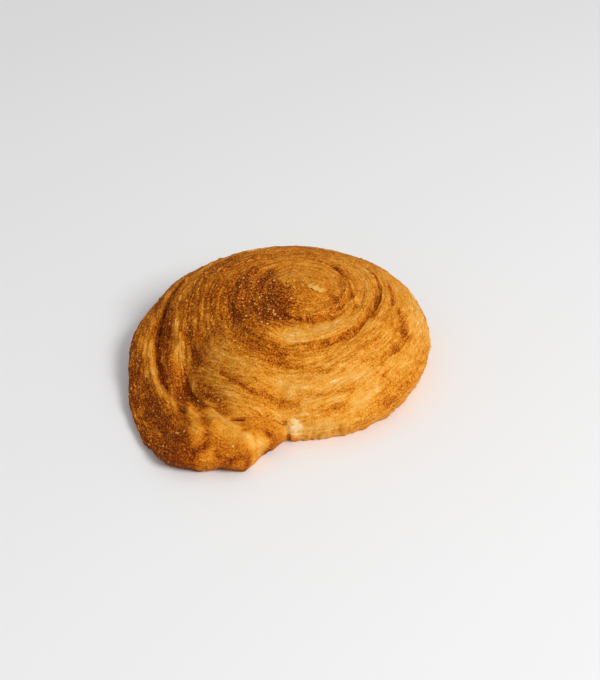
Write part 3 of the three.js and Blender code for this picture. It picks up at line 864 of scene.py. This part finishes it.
# Crust: baked dough, pale where a layer has split and dark brown where it baked most, with the painted shade
# and painted highlights of its browning number. Its browning swings with fine threads along the strip,
# speckles and a mottle, and picks one of the baked colours.
THREADS_ALONG = 0.14
THREADS_ACROSS = 1.5
THREAD_SCALE = 1.0
THREAD_DETAIL = 3.0
THREAD_SWING = 0.72
SPECKLE_SCALE = 1700.0
SPECKLE_LEAST = 0.05
MOTTLE_SCALE = 420.0
MOTTLE_SWING = 0.26
GRAIN_DETAIL = 2.0
BAKED_COLOURS = (
    (0.00, (0.950, 0.690, 0.360)),
    (0.10, (0.830, 0.455, 0.108)),
    (0.36, (0.735, 0.279, 0.019)),
    (0.56, (0.540, 0.149, 0.0050)),
    (0.78, (0.285, 0.056, 0.0028)),
    (1.00, (0.125, 0.019, 0.0018)),
)
CRUST_ROUGHNESS = (0.55, 0.8)
CRUST_SPECULAR = 0.05
FINE_GRAIN_STRENGTH = 0.8
FINE_GRAIN_HEIGHT = 0.25 * MM


def new_material(name):
    """A plain material and its surface."""
    material = bpy.data.materials.new(name)
    material.use_nodes = True
    return material, material.node_tree.nodes["Principled BSDF"]


def noise_of(material, scale, detail, place):
    """Noise from 0 to 1 over a place."""
    node = material.node_tree.nodes.new("ShaderNodeTexNoise")
    node.inputs["Scale"].default_value = scale
    node.inputs["Detail"].default_value = detail
    material.node_tree.links.new(place, node.inputs["Vector"])
    return node.outputs["Fac"]


def colour_by(material, value, stops):
    """A colour between the stops, picked by a number from 0 to 1."""
    ramp = material.node_tree.nodes.new("ShaderNodeValToRGB")
    elements = ramp.color_ramp.elements
    while len(elements) < len(stops):
        elements.new(0.5)
    for element, (position, colour) in zip(elements, stops):
        element.position = position
        element.color = (*colour, 1.0)
    material.node_tree.links.new(value, ramp.inputs["Fac"])
    return ramp.outputs["Color"]


def own_place(material):
    """Where a point lies on its own piece."""
    return material.node_tree.nodes.new("ShaderNodeTexCoord").outputs["Object"]


crust, surface = new_material("crust")
nodes, links = crust.node_tree.nodes, crust.node_tree.links


def number_of(name):
    """The crust's own number of that name, read back for its colour."""
    node = nodes.new("ShaderNodeAttribute")
    node.attribute_name = name
    return node.outputs["Fac"]


def worked(kind, first_value, second_value):
    """A sum, difference or product of two numbers; either can be another node's."""
    node = nodes.new("ShaderNodeMath")
    node.operation = kind
    for socket, value in zip(node.inputs, (first_value, second_value)):
        if isinstance(value, float):
            socket.default_value = value
        else:
            links.new(value, socket)
    return node.outputs[0]


def swing(noise, amount):
    """A noise that swings about nothing, by the amount."""
    return worked("MULTIPLY", worked("SUBTRACT", noise, 0.5), amount)


strip_place = nodes.new("ShaderNodeCombineXYZ")
links.new(worked("MULTIPLY", number_of("along"), THREADS_ALONG), strip_place.inputs["X"])
links.new(worked("MULTIPLY", number_of("across"), THREADS_ACROSS), strip_place.inputs["Y"])
on_crust = own_place(crust)
thread_noise = noise_of(crust, THREAD_SCALE, THREAD_DETAIL, strip_place.outputs[0])
speckle = noise_of(crust, SPECKLE_SCALE, GRAIN_DETAIL, on_crust)
mottle = noise_of(crust, MOTTLE_SCALE, GRAIN_DETAIL, on_crust)
speckle_by_brown = worked("ADD", number_of("brown_and_shade"), SPECKLE_LEAST)
speckled = worked("MULTIPLY", swing(speckle, number_of("speckly")), speckle_by_brown)
threaded = worked("MULTIPLY", swing(thread_noise, THREAD_SWING), number_of("thready"))
browning_and_shade = worked("ADD", threaded, worked("ADD", speckled, swing(mottle, MOTTLE_SWING)))
browning_and_shade = worked("ADD", number_of("brown_and_shade"), browning_and_shade)
links.new(colour_by(crust, browning_and_shade, BAKED_COLOURS), surface.inputs["Base Color"])

shine = nodes.new("ShaderNodeMapRange")
shine.inputs["To Min"].default_value = CRUST_ROUGHNESS[0]
shine.inputs["To Max"].default_value = CRUST_ROUGHNESS[1]
links.new(speckle, shine.inputs["Value"])
links.new(shine.outputs["Result"], surface.inputs["Roughness"])
surface.inputs["Specular IOR Level"].default_value = CRUST_SPECULAR

fine_grain = nodes.new("ShaderNodeBump")
fine_grain.inputs["Strength"].default_value = FINE_GRAIN_STRENGTH
fine_grain.inputs["Distance"].default_value = FINE_GRAIN_HEIGHT
links.new(worked("ADD", thread_noise, speckle), fine_grain.inputs["Height"])
links.new(fine_grain.outputs["Normal"], surface.inputs["Normal"])
bun_mesh.materials.append(crust)
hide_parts("bun")
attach(bun, "root")

# FLAKES
# Leaves of the outermost layer that came loose in the oven. Each still hangs on the crust by one long side,
# and its free side stands up, mostly along the steps of the layers, round the knob and on the left side.

# A length, width or lift is the least and what chance adds to it
FLAKE_SEED = 5
FLAKE_COUNT = 420
FLAKE_LENGTH = (1.2, 3.4)
FLAKE_WIDTH = (0.6, 0.9)
FLAKE_LIFT = (0.16, 0.36)
FLAKE_THICKNESS = 0.14
FLAKE_STEPS = (7, 4)
FLAKE_POINTED = 0.8
FLAKE_RAGGED = (0.75, 0.5)
FLAKE_CURL = 1.5
FLAKE_ENDS_LOWER = 0.5
FLAKE_WARP = 0.3
FLAKE_SUNK = 0.04
FLAKE_PALER = 0.04
FLAKE_EDGE_PALER = 0.13
FLAKE_BROWN_LIMITS = (0.14, 1.0)

# Where flakes stand, by the share of them
FLAKES_EVERYWHERE = 0.15
FLAKES_AT_STEPS = 1.2
FLAKE_STEP_SHARES = (0.72, 0.9)
FLAKES_AT_RIGHT = 0.5
FLAKE_RIGHT_SIDE = (5.0, 30.0, 44.0)
FLAKES_BY_KNOB = 1.6
FLAKE_KNOB_SPOT = (-10.0, -5.0, 13.0)
FLAKES_AT_LEFT = 1.0
FLAKES_FEWER_AT_END = 0.8
FLAKE_LOWEST = 3.0

# One larger flap on the knob
FLAP_PLACE = (8.9, -3.4)
FLAP_SIZES = (6.8, 4.4)
FLAP_TURN = math.radians(-27.0)
FLAP_LIFT = 0.6
FLAP_POINTED = 0.5
FLAP_BROWN = 0.19

crust_points, crust_normals = points.reshape(-1, 3), normal.reshape(-1, 3)
strip_way = (np.roll(points, -1, axis=0) - np.roll(points, 1, axis=0)).reshape(-1, 3)
nearest_crust = KDTree(len(crust_points))
for number, place in enumerate(crust_points.tolist()):
    nearest_crust.insert(place, number)
nearest_crust.balance()
net_area = np.linalg.norm(np.cross(np.gradient(points, axis=1), np.gradient(points, axis=0)), axis=-1)


def spots_by(draw, count, density):
    """Points of the crust drawn by chance, more where the density is larger."""
    chance = (net_area * density).ravel()
    return draw.choice(chance.size, count, replace=False, p=chance / chance.sum())


flake_density = FLAKES_EVERYWHERE + FLAKES_AT_STEPS * ease(layer_share, *FLAKE_STEP_SHARES)
flake_density += FLAKES_AT_RIGHT * on_side(*FLAKE_RIGHT_SIDE)
flake_density = flake_density + FLAKES_BY_KNOB * near_spot(*FLAKE_KNOB_SPOT) + FLAKES_AT_LEFT * at_left
flake_density = flake_density * (above_table > FLAKE_LOWEST) * (1.0 - FLAKES_FEWER_AT_END * smooth_end)
pick = np.random.default_rng(FLAKE_SEED)
flake_vertices = []
flake_faces = []
flake_crust = []
flake_edge = []


def leaf(place, lengthwise, sizes, lift, pointed=FLAKE_POINTED):
    """Adds a thin leaf laid on the crust at a place, with its free side lifted off it."""
    up = crust_normals[nearest_crust.find(place)[1]]
    lengthwise = lengthwise - (lengthwise @ up) * up
    lengthwise = lengthwise / np.linalg.norm(lengthwise)
    crosswise = np.cross(lengthwise, up)
    upper = []
    under = []
    ragged_side = FLAKE_RAGGED[0] + FLAKE_RAGGED[1] * pick.random(FLAKE_STEPS[0])
    for i, u in enumerate(np.linspace(-1.0, 1.0, FLAKE_STEPS[0])):
        breadth = sizes[1] * (1.0 - pointed * u * u) * ragged_side[i]
        for v in np.linspace(0.0, 1.0, FLAKE_STEPS[1]):
            flat = place + 0.5 * sizes[0] * u * lengthwise + breadth * (v - 0.5) * crosswise
            number = nearest_crust.find(flat)[1]
            out = crust_normals[number]
            laid = flat - ((flat - crust_points[number]) @ out) * out
            curl = v ** FLAKE_CURL * (1.0 - FLAKE_ENDS_LOWER * u * u)
            stands = lift * (curl + FLAKE_WARP * (pick.random() - 0.5)) - FLAKE_SUNK
            upper.append(laid + stands * out)
            under.append(laid + (stands - FLAKE_THICKNESS) * out)
            flake_crust.append(number)
            flake_edge.append(v)
    sheet = len(upper)
    flake_crust.extend(flake_crust[-sheet:])
    flake_edge.extend(flake_edge[-sheet:])
    grid = len(flake_vertices) + np.arange(sheet).reshape(FLAKE_STEPS)
    flake_vertices.extend(upper + under)
    for a, b, c, d in zip(grid[:-1, :-1].flat, grid[1:, :-1].flat, grid[1:, 1:].flat, grid[:-1, 1:].flat):
        flake_faces.append((d, c, b, a))
        flake_faces.append((a + sheet, b + sheet, c + sheet, d + sheet))
    rim = [*grid[:, 0], *grid[-1, 1:], *grid[-2::-1, -1], *grid[0, -2:0:-1]]
    for a, b in zip(rim, rim[1:] + rim[:1]):
        flake_faces.append((a, b, b + sheet, a + sheet))


for spot in spots_by(pick, FLAKE_COUNT, flake_density):
    flake_length = FLAKE_LENGTH[0] + FLAKE_LENGTH[1] * pick.random() ** 2
    flake_width = FLAKE_WIDTH[0] + FLAKE_WIDTH[1] * pick.random()
    flake_lift = FLAKE_LIFT[0] + FLAKE_LIFT[1] * pick.random()
    leaf(crust_points[spot], strip_way[spot], (flake_length, flake_width), flake_lift)
flap_point = crust_points[np.argmin(np.hypot(x - FLAP_PLACE[0], y - FLAP_PLACE[1]))]
flap_way = np.array([math.cos(FLAP_TURN), math.sin(FLAP_TURN), 0.0])
leaf(flap_point, flap_way, FLAP_SIZES, FLAP_LIFT, FLAP_POINTED)

flake_mesh = bpy.data.meshes.new("flakes")
flake_corners = (np.array(flake_vertices) * MM).tolist()
flake_mesh.from_pydata(flake_corners, [], [list(map(int, face)) for face in flake_faces])
flake_crust, flake_edge = np.array(flake_crust), np.array(flake_edge)
flake_brown_and_shade = brown_and_shade.ravel()[flake_crust] - FLAKE_PALER - FLAKE_EDGE_PALER * flake_edge
flake_brown_and_shade = np.clip(flake_brown_and_shade, *FLAKE_BROWN_LIMITS)
flap_vertices = 2 * FLAKE_STEPS[0] * FLAKE_STEPS[1]
flake_brown_and_shade[-flap_vertices:] = FLAP_BROWN
paint(flake_mesh, "brown_and_shade", flake_brown_and_shade)
for name in ("along", "across", "thready", "speckly"):
    paint(flake_mesh, name, colour_numbers[name][0].ravel()[flake_crust])
flakes = put("flakes", flake_mesh)
flake_mesh.materials.append(crust)
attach(flakes, "root")

# CRUMBS
# Specks of broken crust, paler than the crust, that lie in its hollows after baking. They stick by
# themselves, thickest round the knob and on the left flank.

CRUMB_SEED = 23
CRUMB_COUNT = 520
CRUMB_SIZES = (0.15, 0.54)
CRUMB_SIDES = 5
CRUMB_REACH = (0.7, 0.6)
CRUMB_TILT = 0.3
CRUMB_TILT_MIDDLE = 0.3
CRUMB_TOP = 0.8
CRUMB_SUNK = 0.6
UPRIGHT = 0.9

# Where crumbs lie, by the share of them
CRUMBS_LEFT_OF_KNOB = 1.6
CRUMB_LEFT_SPOT = (-8.0, -5.0, 12.0)
CRUMBS_RIGHT_OF_KNOB = 0.7
CRUMB_RIGHT_SPOT = (13.0, -8.0, 5.0)
CRUMBS_ROUND_KNOB = 0.2
CRUMB_RING = 21.0
CRUMB_RING_WIDTH = 4.0
CRUMBS_AT_LEFT = 0.12
CRUMB_LOWEST = 1.0

CRUMB_COLOURS = (
    (0.35, (0.56, 0.225, 0.030)),
    (0.6, (0.84, 0.450, 0.110)),
)
CRUMB_NOISE_SCALE = 400.0
CRUMB_ROUGHNESS = 0.7

crumb_density = CRUMBS_LEFT_OF_KNOB * near_spot(*CRUMB_LEFT_SPOT)
crumb_density += CRUMBS_RIGHT_OF_KNOB * near_spot(*CRUMB_RIGHT_SPOT)
crumb_density += CRUMBS_ROUND_KNOB * np.exp(-((radius - CRUMB_RING) / CRUMB_RING_WIDTH) ** 2)
crumb_density = (crumb_density + CRUMBS_AT_LEFT * at_left) * (above_table > CRUMB_LOWEST)
scatter = np.random.default_rng(CRUMB_SEED)
crumb_vertices = []
crumb_faces = []
for spot in spots_by(scatter, CRUMB_COUNT, crumb_density):
    centre, up = crust_points[spot], crust_normals[spot]
    side = np.cross(up, (0.0, 0.0, 1.0) if abs(up[2]) < UPRIGHT else (1.0, 0.0, 0.0))
    side = side / np.linalg.norm(side)
    other = np.cross(up, side)
    size = CRUMB_SIZES[0] + (CRUMB_SIZES[1] - CRUMB_SIZES[0]) * scatter.random() ** 2
    base = len(crumb_vertices)
    turn_by = scatter.random() * 2.0 * math.pi
    for corner in range(CRUMB_SIDES):
        around = turn_by + 2.0 * math.pi * corner / CRUMB_SIDES
        reach = size * (CRUMB_REACH[0] + CRUMB_REACH[1] * scatter.random())
        lift = size * CRUMB_TILT * (scatter.random() - CRUMB_TILT_MIDDLE)
        outwards = math.cos(around) * side + math.sin(around) * other
        crumb_vertices.append(centre + reach * outwards + lift * up)
    crumb_vertices.append(centre + size * CRUMB_TOP * up)
    crumb_vertices.append(centre - size * CRUMB_SUNK * up)
    for corner in range(CRUMB_SIDES):
        a, b = base + corner, base + (corner + 1) % CRUMB_SIDES
        crumb_faces.append((a, b, base + CRUMB_SIDES))
        crumb_faces.append((b, a, base + CRUMB_SIDES + 1))
crumb_mesh = bpy.data.meshes.new("crumbs")
crumb_mesh.from_pydata((np.array(crumb_vertices) * MM).tolist(), [], crumb_faces)
crumbs = put("crumbs", crumb_mesh)

broken_crust, crumb_surface = new_material("broken_crust")
crumb_noise = noise_of(broken_crust, CRUMB_NOISE_SCALE, GRAIN_DETAIL, own_place(broken_crust))
crumb_colour = colour_by(broken_crust, crumb_noise, CRUMB_COLOURS)
broken_crust.node_tree.links.new(crumb_colour, crumb_surface.inputs["Base Color"])
crumb_surface.inputs["Roughness"].default_value = CRUMB_ROUGHNESS
crumb_surface.inputs["Specular IOR Level"].default_value = CRUST_SPECULAR
crumb_mesh.materials.append(broken_crust)
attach(crumbs, "root")

# TABLE AND LIGHT
# A plain white table a hair below the bun, a wide soft lamp at its front right, and a weak white light from
# all round, as in a bright room.

TABLE_SIDE = 3.0
TABLE_DROP = 0.0002
TABLE_COLOUR = (0.9, 0.9, 0.9, 1.0)
TABLE_ROUGHNESS = 0.9
half_side = TABLE_SIDE / 2.0
table_corners = [(-half_side, -half_side, 0.0), (half_side, -half_side, 0.0),
                 (half_side, half_side, 0.0), (-half_side, half_side, 0.0)]
table_mesh = bpy.data.meshes.new("table")
table_mesh.from_pydata(table_corners, [], [(0, 1, 2, 3)])
table = put("table", table_mesh)
table.location.z = -TABLE_DROP
white, table_surface = new_material("white_table")
table_surface.inputs["Base Color"].default_value = TABLE_COLOUR
table_surface.inputs["Roughness"].default_value = TABLE_ROUGHNESS
table_mesh.materials.append(white)

LAMP_PLACE = (0.87, -0.76, 1.04)
LAMP_SIDE = 0.6
LAMP_WATTS = 15.7
lamp = bpy.data.lights.new("right_lamp", "AREA")
lamp.size = LAMP_SIDE
lamp.energy = LAMP_WATTS
lamp_holder = put("right_lamp", lamp)
lamp_holder.location = LAMP_PLACE
away = -np.array(LAMP_PLACE)
lamp_tilt = math.atan2(math.hypot(away[0], away[1]), -away[2])
lamp_holder.rotation_euler = (lamp_tilt, 0.0, math.atan2(-away[0], away[1]))

ROOM_COLOUR = (1.0, 1.0, 1.0, 1.0)
ROOM_STRENGTH = 0.5
room = bpy.data.worlds.new("room")
room.use_nodes = True
room.node_tree.nodes["Background"].inputs["Color"].default_value = ROOM_COLOUR
room.node_tree.nodes["Background"].inputs["Strength"].default_value = ROOM_STRENGTH
bpy.context.scene.world = room
bpy.context.scene.view_settings.view_transform = "Standard"

# CAMERA
# It looks along +Y and 36 degrees down, from half a metre away, at a point just right of the axis and a
# little above the table.

CAMERA_TILT = math.radians(36.0)
CAMERA_DISTANCE = 0.52
CAMERA_LENS = 71.7
CAMERA_NEAREST = 0.01
AIM = (0.0027, 0.0, 0.0109)
camera = bpy.data.cameras.new("camera")
camera.lens = CAMERA_LENS
camera.clip_start = CAMERA_NEAREST
camera_holder = put("camera", camera)
camera_holder.location = (AIM[0], AIM[1] - CAMERA_DISTANCE * math.cos(CAMERA_TILT),
                          AIM[2] + CAMERA_DISTANCE * math.sin(CAMERA_TILT))
camera_holder.rotation_euler = (math.pi / 2.0 - CAMERA_TILT, 0.0, 0.0)
bpy.context.scene.camera = camera_holder
